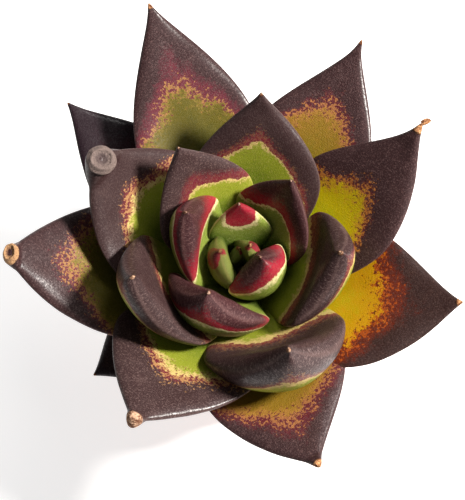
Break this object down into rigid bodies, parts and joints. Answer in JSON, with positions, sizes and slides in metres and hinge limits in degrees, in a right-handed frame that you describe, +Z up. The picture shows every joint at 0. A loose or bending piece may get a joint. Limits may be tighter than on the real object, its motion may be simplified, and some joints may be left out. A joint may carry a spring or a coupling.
{
  "type": "potted succulent",
  "caption": "Rosette succulent with pointed, fleshy purple-brown and green leaves, growing in a plain round clay pot.",
  "frame": {"origin": "centre of the pot's flat base", "axes": "+Z up out of the pot, -Y towards the front of the plant"},
  "size_m": [0.1186, 0.123, 0.0937],
  "materials": {
    "clay": "unglazed, matt, fired red clay",
    "soil": "loose dark potting mix with pale grit",
    "stem": "dull, green-brown, scarred by old leaves",
    "old_leaf": "satin purple-brown, crimson and cream flecks, olive-green root",
    "young_leaf": "satin, crimson to purple-brown point, pale green root"
  },
  "bodies": {
    "root": {"pot": "clay", "soil": "soil", "stem": "stem", "leaf_01": "old_leaf", "leaf_02": "old_leaf", "leaf_03": "old_leaf", "leaf_04": "old_leaf", "leaf_05": "old_leaf", "leaf_06": "old_leaf", "leaf_07": "old_leaf", "leaf_08": "old_leaf", "leaf_09": "old_leaf", "leaf_10": "old_leaf", "leaf_11": "old_leaf", "leaf_12": "old_leaf", "leaf_13": "old_leaf", "leaf_14": "young_leaf", "leaf_15": "young_leaf", "leaf_16": "young_leaf", "leaf_17": "young_leaf", "leaf_18": "young_leaf", "leaf_19": "young_leaf", "leaf_20": "young_leaf", "leaf_21": "young_leaf", "leaf_22": "young_leaf", "leaf_23": "young_leaf", "leaf_24": "young_leaf", "leaf_25": "young_leaf", "leaf_26": "young_leaf", "leaf_27": "young_leaf"}
  },
  "joints": []
}
